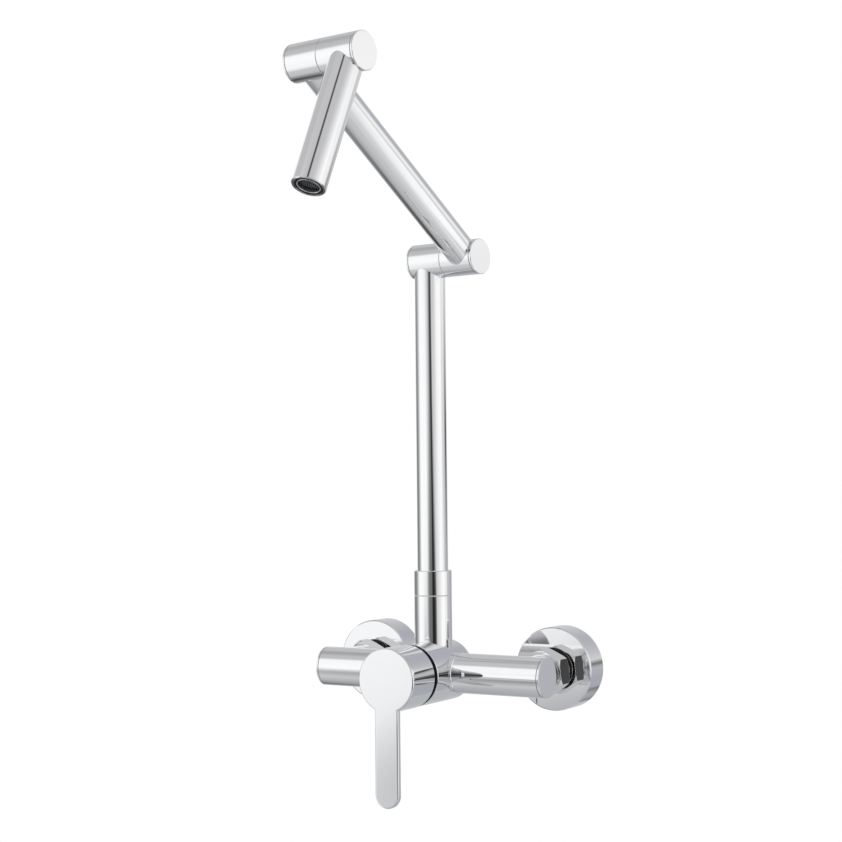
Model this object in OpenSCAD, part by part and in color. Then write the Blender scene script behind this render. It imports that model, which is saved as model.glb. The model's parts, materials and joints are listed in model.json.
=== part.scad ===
// Wall-mounted kitchen mixer tap with a folding spout arm.
//
// The origin lies on the wall, midway between the two water inlets. +Y points into the wall,
// +X to the right as seen from the sink, and +Z up. Lengths are millimetres, angles degrees.

/* [Crossbar] */
// Diameter of the crossbar
bar_d = 28; // [26.5:0.5:32]
// Length of the crossbar over its end caps
bar_l = 182; // [178:1:240]
// Wall thickness of the crossbar tubes
bar_wall = 3; // [2:0.25:4]
// Thickness of the crossbar's end caps
bar_cap_t = 1.6; // [1:0.2:4]
// How far the body's side stubs stand out of its barrel
stub_proud = 0.8; // [0.4:0.1:4]

/* [Wall connections] */
// Distance between the centres of the two wall inlets
inlet_spacing = 150; // [145:1:150]
// Distance from the wall to the crossbar's axis
wall_distance = 61.5; // [60:0.5:90]
// Height of the wall inlets above the crossbar's axis
inlet_rise = 1.2; // [0:0.1:1.5]
// Outer diameter of the wall rosettes
rosette_d = 59.2; // [50:0.2:80]
// Depth of the wall rosettes
rosette_h = 20.3; // [16:0.1:21]
// Sheet thickness of the wall rosettes
rosette_t = 1.2; // [0.8:0.1:2]
// Diameter of the hole in a rosette's front
rosette_hole_d = 30.4; // [30:0.2:36]
// Outer diameter of the wall thread, G 1/2
wall_thread_d = 20.955; // [19:0.005:22]
// Length of the wall thread
wall_thread_l = 14; // [8:1:30]
// Diameter of the union's body inside the rosette
union_body_d = 26; // [24.5:0.5:28]
// Diameter of the union's tail inside the nut
union_tail_d = 19; // [16:0.5:20]
// Bore of the unions
union_bore_d = 13; // [10:0.5:14]
// Outer diameter of the crossbar's inlet nipples, G 3/4
nipple_d = 26.44; // [25:0.01:27]
// Length of the nipples behind the crossbar
nipple_l = 13.7; // [12:0.1:17]
// Width across flats of the union nuts
nut_af = 30; // [29:0.5:36]
// Length of the union nuts
nut_l = 13.7; // [12:0.1:20]
// Angle at which the union nuts came to rest
nut_turn = 5.5; // [0:0.5:30]

/* [Body] */
// Diameter of the mixer body's barrel
body_d = 43.6; // [43:0.2:56]
// Length of the barrel in front of the crossbar's axis
body_front = 30.3; // [29:0.1:34]
// Length of the barrel behind the crossbar's axis
body_rear = 21.2; // [16:0.2:22]
// Width of the bevel on the barrel's edges
body_edge = 1; // [0.3:0.1:1.1]
// Diameter of the neck and of the swivel collar above it
neck_d = 27; // [26:0.5:32]
// Height of the neck's top above the crossbar's axis
neck_h = 54; // [50:0.2:80]
// How far the riser's axis lies behind the crossbar's axis
riser_back = 1.5; // [0:0.1:3]

/* [Cartridge] */
// Outer diameter of the cartridge
cartridge_d = 35; // [34:0.1:35.5]
// Width across the square lever stem
stem_w = 7.6; // [6:0.1:8]
// Distance from the lift pin back to the ball at the stem's end
stem_back_l = 17; // [17:0.1:18]

/* [Handle] */
// Diameter of the handle's round hub
hub_d = 44; // [43:0.2:56]
// Length of the hub
hub_l = 30; // [29:0.2:45]
// Gap between the hub and the barrel
hub_gap = 3.1; // [2.9:0.1:5]
// Thickness of the hub's side wall
hub_wall = 2.2; // [2:0.1:3]
// Thickness of the front plate and of the lever
plate_t = 4; // [3:0.1:6]
// Width of the bevel round the hub's rear edge
hub_bevel = 1.5; // [1.4:0.1:2]
// Width of the lever
lever_w = 18.6; // [12:0.2:30]
// Distance from the hub's axis to the lever's tip
lever_l = 86.7; // [50:0.1:140]

/* [Riser] */
// Outer diameter of the riser tube
riser_d = 22; // [20:0.5:24]
// Wall thickness of the riser, arm and spout tubes
tube_wall = 1.5; // [1:0.1:2]
// Height of the swivel collar
collar_h = 17.6; // [12:0.2:30]
// Height of the lower elbow's axis above the crossbar's axis
riser_h = 293.3; // [180:0.1:400]
// Angle to which the riser is turned
swivel_rest = -5.8; // [-90:0.1:90]

/* [Elbows] */
// Diameter of the elbows
elbow_d = 25; // [24.5:0.5:30]
// Distance from the riser's or the spout's axis to the elbow's seam
outer_seam = 17; // [16:0.2:24]
// Distance from the riser's or the spout's axis to the elbow's end
outer_end = 12.2; // [12.2:0.2:20]
// Distance from the arm's axis to the elbow's seam
arm_seam = 14.4; // [14.4:0.2:24]
// Distance from the arm's axis to the elbow's end
arm_end = 12.8; // [12.2:0.2:20]
// Thickness of the elbows' end caps
elbow_cap_t = 1.6; // [1:0.2:3]

/* [Arm and spout] */
// Outer diameter of the arm tube
arm_d = 22; // [20:0.5:24]
// Distance between the two elbow axes
arm_l = 200; // [100:1:300]
// Angle of the arm, forward of upright
arm_tilt = 57.25; // [0:0.25:110]
// Outer diameter of the spout tube
spout_d = 22; // [21:0.5:24]
// Length of the spout below the upper elbow's axis
spout_l = 97.3; // [50:0.1:160]
// Angle of the spout, forward of straight down
spout_tilt = 24.3; // [-30:0.1:90]

/* [Hidden] */
$fn = 96;

// Shared clearances and overruns
fit = 0.05;           // radial clearance of a running or locating fit
play = 0.2;           // clearance between pieces that need not touch
reveal = 0.4;         // visible groove under each end cap
cut = 1;              // overrun of a cut past the face it opens
cap_edge = 0.3;       // bevel on the rim of an end cap
cap_lip_l = 2.5;      // length of the lip that holds an end cap in its tube
hex_corner = 2 / sqrt(3);

// Crossbar
bar_r = bar_d / 2;
bar_half = bar_l / 2;
bar_bore_r = bar_r - bar_wall;
seam_x = body_d / 2 + stub_proud;
body_lip_l = 4;       // length of the body's locating lip inside each bar tube

// Wall connections, measured along Y from the crossbar's axis
inlet_x = inlet_spacing / 2;
nipple_end = bar_r + nipple_l;
nipple_wall = 3.2;
nipple_bore_r = nipple_d / 2 - nipple_wall;
washer_t = 2;
union_flange_t = 3.3;
nut_shoulder_t = 3;
nut_back = nipple_end + washer_t + union_flange_t + play + nut_shoulder_t;
nut_front = nut_back - nut_l;
nut_edge = 1.8;       // depth of the bevel on a union nut's corners
rosette_front = wall_distance - rosette_h;
rosette_edge = 0.9;   // bevel round the rosette's front
union_recess = 0.6;   // how far the union's body stays behind the rosette's front
union_front = rosette_front + union_recess;
rosette_seal_sink = 0.3; // how far the seal in the hole lies behind the rosette's front
union_step = 1;       // how far the two offset ends of the union run into each other
wall_thread_edge = 1; // bevel at the end of the wall thread

// Barrel, measured along Y from the crossbar's axis, the front being negative
body_r = body_d / 2;
rim_wall = 1.1;       // wall of the barrel round the recess behind the hub
recess_l = 3.5;       // depth of that recess
ring_wall = 2.25;     // wall of the barrel round the ring nut
ring_r = body_r - ring_wall;
ring_back = 22;       // distance from the crossbar's axis to the cartridge's shoulder
ring_sink = 1.3;      // how far the ring nut sits behind the barrel's front
ring_front = body_front - ring_sink;
ring_slot_w = 4;
ring_slot_d = 2;
channel_y = 5.5;      // inlet channels behind the cartridge's seat
channel_z = -3.5;
channel_r = 3.8;
inlet_port_x = 6.5;   // ports in the seat, two inlets below and one outlet above
inlet_port_z = -5;
inlet_port_r = 2.8;
outlet_port_z = 8;
outlet_port_r = 3.2;
outlet_y = 7;         // outlet channel up to the neck

// Cartridge, measured the same way
cartridge_r = cartridge_d / 2;
base_t = 2.7;
fixed_disc_t = 3.5;
moving_disc_t = 4;
carrier_t = 7.8;
chamber_wall = 2;
chamber_r = cartridge_r - chamber_wall;
disc_r = 11.5;
mixing_r = 7;         // hollow of the moving disc that joins inlets and outlet
mixing_z = 4;
mixing_d = 2.5;
shoulder_t = 2.5;
nose_r = 14;          // front sleeve of the cartridge
nose_bore_r = 11;
nose_proud = 7.7;     // how far the sleeve stands out of the barrel
nose_front = body_front + nose_proud;
seal_r = 0.6;         // half thickness of the round seals
pivot_proud = 1.7;    // how far the lift pin lies in front of the barrel
pivot_y = body_front + pivot_proud;
lift_pin_r = 1.5;
lift_pin_sink = 0.4;  // how far the lift pin ends short of the rotor's side
ball_r = 3.5;
ball_y = pivot_y - stem_back_l;
shank_r = 2.8;
socket_clear = 0.3;
socket_reserve = 0.5; // room behind the ball
rotor_flange_r = 14;
rotor_flange_t = 1;
rotor_sink = 0.5;     // how far the rotor ends inside the sleeve
rotor_play = 0.1;     // end play of the rotor's flange
rotor_front = nose_front - rotor_sink;
flange_back = ring_back - shoulder_t - rotor_flange_t - rotor_play;
stem_block = 4;       // length of the stem's square block behind the lift pin
slot_up = 5.3;        // height of the rotor's slot above and below the stem's axis
slot_down = 5.7;
slot_play = 0.1;      // clearance of the stem at each side of the slot
fixed_disc_back = base_t;
moving_disc_back = fixed_disc_back + fixed_disc_t;
carrier_back = moving_disc_back + moving_disc_t;
carrier_front = carrier_back + carrier_t;
socket_floor = ball_y - ball_r - socket_reserve;

// Handle, measured the same way
hub_r = hub_d / 2;
hub_back = body_front + hub_gap;
hub_front = hub_back + hub_l;
plate_back = hub_front - plate_t;
plate_edge = 0.7;     // bevel round the hub's front
boss_r = 9;
boss_clear = 10;      // distance from the lift pin to the boss
boss_back = pivot_y + boss_clear;
insert_r = 6.5;
insert_sink = 0.3;    // how far the insert sits inside the boss
insert_room = 2.4;    // room in front of the insert
insert_back = boss_back + insert_sink;
insert_front = plate_back - insert_room;
stem_room = 1;        // room in front of the stem, inside the insert
stem_front = insert_front - stem_room;
grub_r = 2.5;
grub_l = 5;
grub_back_l = 8;      // distance from the boss's end to the grub screw's axis
grub_y = boss_back + grub_back_l;
grub_socket_r = 1.4;
grub_socket_d = 2.5;

// Riser and swivel, measured up from the crossbar's axis
riser_r = riser_d / 2;
neck_r = neck_d / 2;
riser_bore_r = riser_r - tube_wall;
neck_floor_t = 3.5;   // wall between the cartridge's bore and the neck's bore
neck_floor = cartridge_r + neck_floor_t;
spigot_r = riser_bore_r - fit;
spigot_wall = 3.4;
spigot_bore_r = spigot_r - spigot_wall;
spigot_clear = 2;     // room below the spigot
spigot_foot = neck_floor + spigot_clear;
slip_t = 0.4;
collar_foot = neck_h + slip_t;
collar_top = collar_foot + collar_h;
collar_floor_t = 2;
collar_edge = 0.4;
spigot_sink = 2;      // how far the spigot ends below the collar's top
spigot_top = collar_top - spigot_sink;
seal_groove_w = 1.6;
seal_foot = 5;        // height of the lowest seal above the spigot's end
seal_low = spigot_foot + seal_foot;
seal_pitch = 5.5;
seal_depth = 1.2;
lock_drop = 8;        // depth of the retaining screw below the neck's top
lock_groove_z = neck_h - lock_drop;
lock_groove_w = 4.4;
lock_groove_d = 1.15;
lock_r = 2;
lock_head_sink = 0.6;

// Elbows, with places along their axes measured from the riser's axis
elbow_r = elbow_d / 2;
lower_end = -outer_end;
lower_seam = outer_seam;
arm_x = lower_seam + arm_seam;
lower_far = arm_x + arm_end;
upper_end = arm_x - arm_end;
upper_seam = arm_x + arm_seam;
spout_x = upper_seam + outer_seam;
upper_far = spout_x + outer_end;
elbow_wall = 2.5;
elbow_bore_r = elbow_r - elbow_wall;
web_t = 7;            // wall that carries the spindle, each side of the seam
friction_t = 0.4;     // thickness of the friction washer at the seam
friction_sink = 0.7;  // how far the washer ends below the elbow's surface
friction_r = elbow_r - friction_sink;
spindle_r = 6.5;
spindle_bore_r = 4.5;
spindle_head_r = 8.5;
spindle_head_t = 2;
spring_t = 0.8;
spindle_nut_af = 16;
spindle_nut_t = 4;
spindle_tail = 1;
port_r = 7;           // water port from an elbow into its tube

// Arm and spout
arm_r = arm_d / 2;
spout_r = spout_d / 2;
spout_bore_r = spout_r - tube_wall;
spout_edge = 0.5;     // bevel round the spout's open end
aerator_l = 10;
aerator_wall = 1.3;
aerator_sink = 0.4;
grid_t = 4.5;
grid_sink = 3.5;
grid_rim_w = 0.9;
grid_rings = 3;
grid_rib = 0.5;
grid_hub_r = 1;
aerator_seal_t = 1.6;

// A solid rod along Y, from y0 to y1
module rod_y(r, y0, y1) {
    translate([0, y1, 0]) rotate([90, 0, 0]) cylinder(r = r, h = y1 - y0);
}

// A solid rod along X, from x0 to x1
module rod_x(r, x0, x1) {
    translate([x0, 0, 0]) rotate([0, 90, 0]) cylinder(r = r, h = x1 - x0);
}

// A rod along Y with a bevel on its front edge, its back edge or both
module bevelled_y(r, y0, y1, front_edge, back_edge) {
    translate([0, y1, 0]) rotate([90, 0, 0]) rotate_extrude() polygon([
        [0, 0], [r - back_edge, 0], [r, back_edge],
        [r, y1 - y0 - front_edge], [r - front_edge, y1 - y0], [0, y1 - y0]
    ]);
}

// A straight pipe about Z, of outer radius r and bore radius bore_r
module pipe(r, bore_r, h) {
    difference() {
        cylinder(r = r, h = h);
        translate([0, 0, -cut]) cylinder(r = bore_r, h = h + 2 * cut);
    }
}

// A round seal about Z
module seal(ring_radius) {
    rotate_extrude() translate([ring_radius, 0]) circle(r = seal_r);
}

// The frame of the crossbar: its axis runs along X through the origin
module at_bar() {
    translate([0, -wall_distance, -inlet_rise]) children();
}

// The same at one of the two inlets, side is -1 for left and 1 for right
module at_inlet(side) {
    at_bar() translate([side * inlet_x, 0, 0]) children();
}

// The frame that turns with the riser: its axis runs along Z through the origin
module at_riser() {
    at_bar() translate([0, riser_back, 0]) rotate([0, 0, swivel_rest]) children();
}

// The lower elbow's axis runs along X, and the arm along +Z
module at_arm() {
    at_riser() translate([0, 0, riser_h]) rotate([arm_tilt, 0, 0]) children();
}

// The upper elbow's axis runs along X, and the spout along -Z
module at_spout() {
    at_arm() translate([0, 0, arm_l]) rotate([-arm_tilt - spout_tilt, 0, 0]) children();
}

// Wall connections

module rosette(side) {
    color("gainsboro") at_inlet(side) translate([0, 0, inlet_rise]) difference() {
        bevelled_y(rosette_d / 2, rosette_front, wall_distance, rosette_edge, 0);
        rod_y(rosette_d / 2 - rosette_t, rosette_front + rosette_t, wall_distance + cut);
        rod_y(rosette_hole_d / 2, rosette_front - cut, wall_distance);
    }
}

// A union: a flanged tail on the crossbar's side, and a wall thread set a little higher
module union_fitting(side) {
    thread_end = wall_distance + wall_thread_l;
    flange_front = nipple_end + washer_t;
    color("darkgoldenrod") at_inlet(side) difference() {
        union() {
            rod_y(nipple_d / 2 - play, flange_front, flange_front + union_flange_t);
            rod_y(union_tail_d / 2, flange_front, union_front + union_step);
            translate([0, 0, inlet_rise]) {
                rod_y(union_body_d / 2, union_front, wall_distance);
                bevelled_y(wall_thread_d / 2, union_front, thread_end, 0, wall_thread_edge);
            }
        }
        rod_y(union_bore_d / 2, nipple_end, union_front + union_step);
        translate([0, 0, inlet_rise]) rod_y(union_bore_d / 2, union_front, thread_end + cut);
    }
}

module union_nut(side) {
    corner_r = nut_af / 2 * hex_corner;
    color("gainsboro") at_inlet(side) difference() {
        intersection() {
            translate([0, nut_back, 0]) rotate([90, 0, 0])
                rotate([0, 0, 30 + nut_turn]) cylinder(r = corner_r, h = nut_l, $fn = 6);
            bevelled_y(corner_r, nut_front, nut_back, nut_edge, nut_edge);
        }
        rod_y(nipple_d / 2 + fit, nut_front - cut, nut_back - nut_shoulder_t);
        rod_y(union_tail_d / 2 + play, nut_front, nut_back + cut);
    }
}

// The seals that close the holes of the rosettes round the unions
module rosette_seals() {
    color("black") for (side = [-1, 1]) at_inlet(side) translate([0, 0, inlet_rise]) difference() {
        rod_y(rosette_hole_d / 2 - fit, rosette_front + rosette_seal_sink, rosette_front + rosette_t);
        rod_y(union_body_d / 2 + fit, rosette_front - cut, wall_distance);
    }
}

module inlet_washers() {
    color("dimgray") for (side = [-1, 1]) at_inlet(side) difference() {
        rod_y(nipple_d / 2 - play, nipple_end, nipple_end + washer_t);
        rod_y(union_bore_d / 2, nipple_end - cut, nipple_end + washer_t + cut);
    }
}

// Crossbar

module bar_tube(side) {
    color("gainsboro") at_bar() mirror([side < 0 ? 1 : 0, 0, 0]) difference() {
        union() {
            rod_x(bar_r, seam_x, bar_half - bar_cap_t - reveal);
            translate([inlet_x, 0, 0]) rod_y(nipple_d / 2, 0, nipple_end);
        }
        rod_x(bar_bore_r, seam_x - cut, bar_half);
        translate([inlet_x, 0, 0]) rod_y(nipple_bore_r, 0, nipple_end + cut);
    }
}

// An end cap with its lip, facing +X, with its outer face at the origin
module end_cap(r, bore_r, t) {
    rotate([0, -90, 0]) rotate_extrude() polygon([
        [0, 0], [r - cap_edge, 0], [r, cap_edge], [r, t],
        [bore_r - fit, t], [bore_r - fit, t + reveal + cap_lip_l], [0, t + reveal + cap_lip_l]
    ]);
}

module bar_cap(side) {
    color("gainsboro") at_bar() mirror([side < 0 ? 1 : 0, 0, 0])
        translate([bar_half, 0, 0]) end_cap(bar_r, bar_bore_r, bar_cap_t);
}

// Mixer body

module body() {
    color("gainsboro") at_bar() difference() {
        union() {
            bevelled_y(body_r, -body_front, body_rear, body_edge, body_edge);
            rod_x(bar_r, -seam_x, seam_x);
            rod_x(bar_bore_r - fit, -seam_x - body_lip_l, seam_x + body_lip_l);
            translate([0, riser_back, 0]) cylinder(r = neck_r, h = neck_h);
        }
        rod_y(body_r - rim_wall, -body_front - cut, -body_front + recess_l);
        rod_y(ring_r + fit, -body_front - cut, -ring_back);
        rod_y(cartridge_r + fit, -body_front - cut, 0);
        body_channels();
        translate([0, riser_back, neck_floor]) cylinder(r = spigot_r + fit, h = neck_h);
        translate([0, riser_back, lock_groove_z]) rod_y(lock_r, 0, neck_r + cut);
    }
}

// Water ways behind the cartridge's seat: two inlets and the outlet up to the neck
module body_channels() {
    for (side = [-1, 1]) mirror([side < 0 ? 1 : 0, 0, 0]) {
        translate([0, channel_y, channel_z])
            rod_x(channel_r, inlet_port_x - channel_r / 2, seam_x + body_lip_l + cut);
        translate([inlet_port_x, 0, inlet_port_z]) rod_y(inlet_port_r, -cut, channel_y);
    }
    translate([0, 0, outlet_port_z]) rod_y(outlet_port_r, -cut, outlet_y);
    translate([0, outlet_y, outlet_port_z]) cylinder(r = outlet_port_r, h = neck_floor);
}

module ring_nut() {
    color("darkgoldenrod") at_bar() difference() {
        rod_y(ring_r, -ring_front, -ring_back);
        rod_y(nose_r + play, -ring_front - cut, -ring_back + cut);
        for (turn = [0, 90]) rotate([0, turn, 0])
            translate([-body_d / 2, -ring_front - cut, -ring_slot_w / 2])
                cube([body_d, ring_slot_d + cut, ring_slot_w]);
    }
}

// Cartridge

module cartridge_housing() {
    color("whitesmoke") at_bar() difference() {
        union() {
            rod_y(cartridge_r, -ring_back, -base_t);
            rod_y(nose_r, -nose_front, -base_t);
        }
        rod_y(chamber_r + fit, -ring_back + shoulder_t, 0);
        rod_y(nose_bore_r, -nose_front - cut, 0);
    }
}

// The three ports of the seat, as rods from y0 to y1 grown by extra
module ports(y0, y1, extra = 0) {
    for (side = [-1, 1])
        translate([side * inlet_port_x, 0, inlet_port_z]) rod_y(inlet_port_r + extra, y0, y1);
    translate([0, 0, outlet_port_z]) rod_y(outlet_port_r + extra, y0, y1);
}

module cartridge_base() {
    color("whitesmoke") at_bar() difference() {
        rod_y(cartridge_r, -base_t, 0);
        ports(-base_t - cut, cut);
        ports(-2 * seal_r - fit, cut, 2 * seal_r + fit);
    }
}

module base_seals() {
    color("dimgray") at_bar() {
        for (side = [-1, 1]) translate([side * inlet_port_x, -seal_r, inlet_port_z])
            rotate([90, 0, 0]) seal(inlet_port_r + seal_r);
        translate([0, -seal_r, outlet_port_z])
            rotate([90, 0, 0]) seal(outlet_port_r + seal_r);
    }
}

module fixed_disc() {
    color("whitesmoke") at_bar() difference() {
        rod_y(chamber_r, -moving_disc_back, -fixed_disc_back);
        ports(-moving_disc_back - cut, cut);
    }
}

module moving_disc() {
    color("whitesmoke") at_bar() difference() {
        rod_y(disc_r, -carrier_back, -moving_disc_back);
        translate([0, 0, mixing_z]) rod_y(mixing_r, -moving_disc_back - mixing_d, 0);
    }
}

module disc_carrier() {
    color("dimgray") at_bar() difference() {
        rod_y(disc_r, -carrier_front, -carrier_back);
        rod_y(ball_r + socket_clear, -carrier_front - cut, -socket_floor);
    }
}

module rotor() {
    color("dimgray") at_bar() difference() {
        union() {
            rod_y(nose_bore_r - fit, -rotor_front, -flange_back);
            rod_y(rotor_flange_r, -flange_back - rotor_flange_t, -flange_back);
        }
        translate([-stem_w / 2 - slot_play, -rotor_front - cut, -slot_down])
            cube([stem_w + 2 * slot_play, rotor_front, slot_down + slot_up]);
        translate([0, -pivot_y, 0]) rod_x(lift_pin_r, -nose_bore_r, nose_bore_r);
    }
}

module lift_pin() {
    color("silver") at_bar() translate([0, -pivot_y, 0])
        rod_x(lift_pin_r, lift_pin_sink - nose_bore_r, nose_bore_r - lift_pin_sink);
}

module stem() {
    color("darkgoldenrod") at_bar() difference() {
        union() {
            translate([-stem_w / 2, -stem_front, -stem_w / 2])
                cube([stem_w, stem_front - pivot_y + stem_block, stem_w]);
            rod_y(shank_r, -pivot_y, -ball_y);
            translate([0, -ball_y, 0]) sphere(r = ball_r);
        }
        translate([0, -pivot_y, 0]) rod_x(lift_pin_r + fit, -stem_w, stem_w);
    }
}

// Handle

module handle() {
    color("gainsboro") at_bar() difference() {
        union() {
            difference() {
                union() {
                    bevelled_y(hub_r, -hub_front, -hub_back, plate_edge, hub_bevel);
                    lever();
                }
                rod_y(hub_r - hub_wall, -plate_back, -hub_back + cut);
            }
            rod_y(boss_r, -plate_back, -boss_back);
        }
        rod_y(insert_r, -insert_front, -boss_back + cut);
        translate([0, -grub_y, -hub_r - cut]) cylinder(r = grub_r + fit, h = hub_r);
    }
}

// The flat lever, which hangs down from the front plate
module lever() {
    translate([0, -plate_back, 0]) rotate([90, 0, 0]) linear_extrude(plate_t) {
        translate([-lever_w / 2, -lever_l + lever_w / 2])
            square([lever_w, lever_l - lever_w / 2]);
        translate([0, -lever_l + lever_w / 2]) circle(d = lever_w);
    }
}

module handle_insert() {
    color("whitesmoke") at_bar() difference() {
        rod_y(insert_r, -insert_front, -insert_back);
        translate([-stem_w / 2, -stem_front, -stem_w / 2]) cube([stem_w, stem_front, stem_w]);
        translate([0, -grub_y, -insert_r - cut]) cylinder(r = grub_r + fit, h = insert_r);
    }
}

module handle_screw() {
    color("silver") at_bar() translate([0, -grub_y, -stem_w / 2 - grub_l]) difference() {
        cylinder(r = grub_r, h = grub_l);
        translate([0, 0, -cut]) cylinder(r = grub_socket_r, h = grub_socket_d + cut, $fn = 6);
    }
}

// Riser and swivel

module swivel_screw() {
    color("silver") at_bar() translate([0, riser_back, lock_groove_z])
        rod_y(lock_r - fit, spigot_r - lock_groove_d + play, neck_r - lock_head_sink);
}

module slip_washer() {
    color("whitesmoke") at_bar() translate([0, riser_back, neck_h])
        pipe(neck_r - play, spigot_r + play, slip_t);
}

module swivel_collar() {
    color("gainsboro") at_riser() difference() {
        translate([0, 0, collar_foot]) rotate_extrude() polygon([
            [0, 0], [neck_r - collar_edge / 2, 0], [neck_r, collar_edge / 2],
            [neck_r, collar_h - collar_edge], [neck_r - collar_edge, collar_h], [0, collar_h]
        ]);
        translate([0, 0, collar_foot - cut]) cylinder(r = spigot_r + fit, h = collar_h);
        translate([0, 0, collar_foot + collar_floor_t]) cylinder(r = riser_r, h = collar_h);
    }
}

module spigot() {
    color("darkgoldenrod") at_riser() difference() {
        translate([0, 0, spigot_foot]) cylinder(r = spigot_r, h = spigot_top - spigot_foot);
        translate([0, 0, spigot_foot - cut]) cylinder(r = spigot_bore_r, h = spigot_top);
        for (i = [0, 1]) translate([0, 0, seal_low + i * seal_pitch - seal_groove_w / 2])
            groove(spigot_r, seal_depth + fit, seal_groove_w);
        translate([0, 0, lock_groove_z - lock_groove_w / 2])
            groove(spigot_r, lock_groove_d, lock_groove_w);
    }
}

// A ring-shaped groove about Z, cut from radius r to a depth
module groove(r, depth, width) {
    difference() {
        cylinder(r = r + cut, h = width);
        translate([0, 0, -cut]) cylinder(r = r - depth, h = width + 2 * cut);
    }
}

module spigot_seals() {
    color("dimgray") at_riser() for (i = [0, 1])
        translate([0, 0, seal_low + i * seal_pitch]) seal(spigot_r - seal_depth + seal_r);
}

// A straight tube about Z whose ends are cut to the shape of the elbows at z0 and z1
module elbow_tube(r, z0, z1, foot_cut, top_cut) {
    difference() {
        translate([0, 0, z0]) cylinder(r = r, h = z1 - z0);
        translate([0, 0, z0 - cut]) cylinder(r = r - tube_wall, h = z1 - z0 + 2 * cut);
        if (foot_cut) translate([0, 0, z0]) rod_x(elbow_r, -elbow_d, elbow_d);
        if (top_cut) translate([0, 0, z1]) rod_x(elbow_r, -elbow_d, elbow_d);
    }
}

module riser() {
    color("gainsboro") at_riser()
        elbow_tube(riser_r, collar_foot + collar_floor_t, riser_h, false, true);
}

// Elbows. In each, the near half holds the spindle and the far half turns on it.

// The near half, from its end at x0 to the seam, with a port at tube_x facing -Z
module near_half(x0, seam, tube_x) {
    face = seam - friction_t / 2;
    difference() {
        rod_x(elbow_r, x0 + elbow_cap_t + reveal, face);
        rod_x(elbow_bore_r, x0, face - web_t);
        rod_x(spindle_r, x0, seam);
        translate([tube_x, 0, -elbow_r]) cylinder(r = port_r, h = elbow_r);
    }
}

// The far half, from the seam to its end at x1, with a port at tube_x facing up or down
module far_half(seam, x1, tube_x, facing) {
    face = seam + friction_t / 2;
    difference() {
        rod_x(elbow_r, face, x1 - elbow_cap_t - reveal);
        rod_x(elbow_bore_r, face + web_t, x1);
        rod_x(spindle_r + fit, seam, x1);
        translate([tube_x, 0, facing < 0 ? -elbow_r : 0]) cylinder(r = port_r, h = elbow_r);
    }
}

// The hollow spindle. Its head bears on the near half, and its nut presses the far half.
module spindle(seam) {
    head = seam - friction_t / 2 - web_t;
    tail = seam + friction_t / 2 + web_t + spring_t + spindle_nut_t + spindle_tail;
    difference() {
        union() {
            rod_x(spindle_r, head - spindle_head_t, tail);
            rod_x(spindle_head_r, head - spindle_head_t, head);
        }
        rod_x(spindle_bore_r, head - spindle_head_t - cut, tail + cut);
        for (x = spindle_seal_places(seam)) translate([x - seal_groove_w / 2, 0, 0])
            rotate([0, 90, 0]) groove(spindle_r, seal_depth + fit, seal_groove_w);
    }
}

function spindle_seal_places(seam) = [
    seam + friction_t / 2 + web_t / 4, seam + friction_t / 2 + web_t * 3 / 4
];

module spindle_seals(seam) {
    for (x = spindle_seal_places(seam)) translate([x, 0, 0])
        rotate([0, 90, 0]) seal(spindle_r - seal_depth + seal_r);
}

module friction_washer(seam) {
    difference() {
        rod_x(friction_r, seam - friction_t / 2 + fit, seam + friction_t / 2);
        rod_x(spindle_r + fit, seam - cut, seam + cut);
    }
}

module spring_washer(seam) {
    x0 = seam + friction_t / 2 + web_t;
    difference() {
        rod_x(spindle_nut_af / 2, x0, x0 + spring_t);
        rod_x(spindle_r + fit, x0 - cut, x0 + spring_t + cut);
    }
}

module spindle_nut(seam) {
    x0 = seam + friction_t / 2 + web_t + spring_t;
    difference() {
        translate([x0, 0, 0]) rotate([0, 90, 0])
            cylinder(r = spindle_nut_af / 2 * hex_corner, h = spindle_nut_t, $fn = 6);
        rod_x(spindle_r, x0 - cut, x0 + spindle_nut_t + cut);
    }
}

// The elbow's end cap on its left, at x0, or on its right, at x1
module left_cap(x0) {
    translate([x0, 0, 0]) mirror([1, 0, 0]) end_cap(elbow_r, elbow_bore_r, elbow_cap_t);
}

module right_cap(x1) {
    translate([x1, 0, 0]) end_cap(elbow_r, elbow_bore_r, elbow_cap_t);
}

module at_lower_elbow() {
    at_riser() translate([0, 0, riser_h]) children();
}

module at_upper_elbow() {
    at_arm() translate([0, 0, arm_l]) children();
}

module lower_elbow_riser_half() {
    color("gainsboro") at_lower_elbow() near_half(lower_end, lower_seam, 0);
}

module lower_cap_left() {
    color("gainsboro") at_lower_elbow() left_cap(lower_end);
}

module lower_spindle() {
    color("darkgoldenrod") at_lower_elbow() spindle(lower_seam);
}

module lower_spindle_nut() {
    color("darkgoldenrod") at_lower_elbow() spindle_nut(lower_seam);
}

module lower_seals() {
    color("dimgray") at_lower_elbow() spindle_seals(lower_seam);
}

module lower_spring_washer() {
    color("silver") at_lower_elbow() spring_washer(lower_seam);
}

module lower_friction_washer() {
    color("whitesmoke") at_arm() friction_washer(lower_seam);
}

module lower_elbow_arm_half() {
    color("gainsboro") at_arm() far_half(lower_seam, lower_far, arm_x, 1);
}

module lower_cap_right() {
    color("gainsboro") at_arm() right_cap(lower_far);
}

module upper_elbow_arm_half() {
    color("gainsboro") at_upper_elbow() near_half(upper_end, upper_seam, arm_x);
}

module upper_cap_left() {
    color("gainsboro") at_upper_elbow() left_cap(upper_end);
}

module upper_spindle() {
    color("darkgoldenrod") at_upper_elbow() spindle(upper_seam);
}

module upper_spindle_nut() {
    color("darkgoldenrod") at_upper_elbow() spindle_nut(upper_seam);
}

module upper_seals() {
    color("dimgray") at_upper_elbow() spindle_seals(upper_seam);
}

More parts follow.
